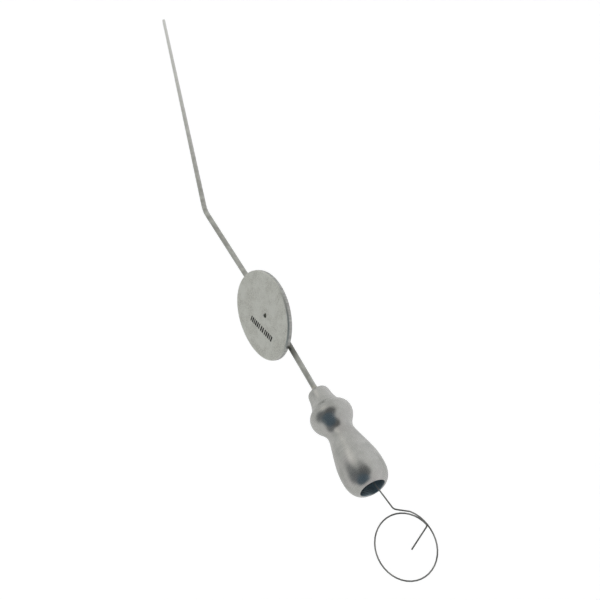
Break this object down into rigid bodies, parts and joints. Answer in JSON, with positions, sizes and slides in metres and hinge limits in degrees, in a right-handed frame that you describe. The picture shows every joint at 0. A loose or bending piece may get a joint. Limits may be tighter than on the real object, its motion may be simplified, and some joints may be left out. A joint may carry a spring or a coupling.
{
  "type": "surgical suction tube",
  "caption": "Angled stainless suction tube with an oval finger cut-off plate, a turned hollow olive hub for a hose and a wire cleaning stylet with a ring.",
  "frame": {"origin": "centre of the hub's open mouth, where the suction hose goes on", "axes": "+X along the hub and the straight part of the tube towards the tip, +Z the normal of the finger plate's face, and the tube bends towards -Z"},
  "size_m": [0.2136, 0.0186, 0.0337],
  "materials": {
    "tube_steel": "satin",
    "plate_steel": "bead blasted satin",
    "hub_steel": "turned satin",
    "braze": "silver braze, satin",
    "wire_steel": "drawn spring wire"
  },
  "bodies": {
    "suction_tube_body": {"suction_tube": "tube_steel", "finger_plate": "plate_steel", "plate_bead_left": "braze", "plate_bead_right": "braze", "olive_hub": "hub_steel", "nose_bead": "braze"},
    "stylet_slide_body": {"stylet_tail": "wire_steel"},
    "stylet_ring_body": {"stylet_ring": "wire_steel"}
  },
  "joints": [
    {"name": "stylet_withdraw", "type": "slide", "parent": "suction_tube_body", "child": "stylet_slide_body", "axis": [-1, 0, 0], "range_m": [0, 0.185], "deforming": ["stylet_tail"]},
    {"name": "stylet_spin", "type": "hinge", "parent": "stylet_slide_body", "child": "stylet_ring_body", "pos_m": [0, 0, 0], "axis": [1, 0, 0], "continuous": true}
  ]
}
